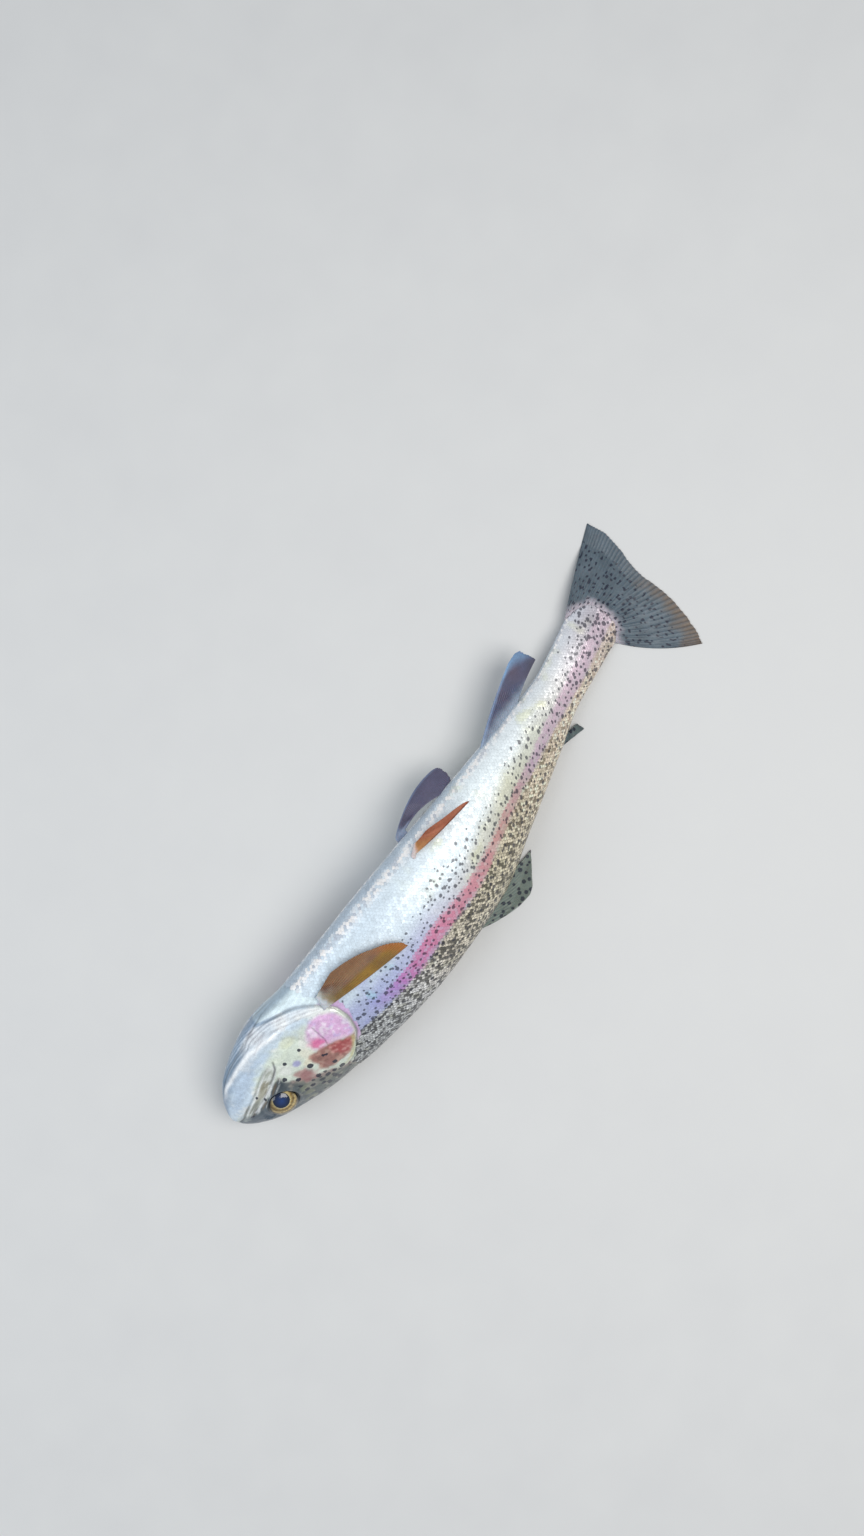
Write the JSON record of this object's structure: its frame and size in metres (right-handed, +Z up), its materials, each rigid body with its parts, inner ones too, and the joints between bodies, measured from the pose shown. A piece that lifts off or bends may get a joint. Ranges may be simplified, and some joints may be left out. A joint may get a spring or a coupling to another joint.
{
  "type": "rainbow trout",
  "caption": "Life-size rainbow trout lying at rest on its left flank, body slightly bowed, belly rolled up a little, with spread tail fin.",
  "frame": {"origin": "middle of the bounding box in X and Y, on the floor that the fish lies on", "axes": "+X from the snout towards the tail, +Y from the back towards the belly, +Z up from the floor"},
  "size_m": [0.3094, 0.0778, 0.0488],
  "materials": {
    "skin_head": "moist skin, pearly cheek with an olive crown",
    "skin_jaw": "moist skin, bluish white",
    "gill_cover": "pearly pink and coral plate",
    "skin_body": "small silvery scales with black spots and a pink stripe",
    "skin_tail": "small silvery scales with dense black spots",
    "fin_amber": "thin amber membrane with dark rays",
    "fin_orange": "thin orange membrane with rays",
    "fin_mauve": "thin mauve-grey membrane with rays",
    "fin_slate": "thin slate membrane with rows of dark spots",
    "eye": "clear cornea over a gold iris and a dark pupil"
  },
  "bodies": {
    "root": {"head": "skin_head", "lower_jaw": "skin_jaw", "gill_cover_right": "gill_cover", "gill_cover_left": "gill_cover", "trunk": "skin_body", "tail_stalk": "skin_tail", "eye_right": "eye", "eye_left": "eye", "caudal_fin": "fin_slate", "dorsal_fin": "fin_slate", "adipose_fin": "fin_slate", "anal_fin": "fin_mauve", "pectoral_fin_right": "fin_amber", "pectoral_fin_left": "fin_amber", "pelvic_fin_right": "fin_orange", "pelvic_fin_left": "fin_mauve"}
  },
  "joints": []
}
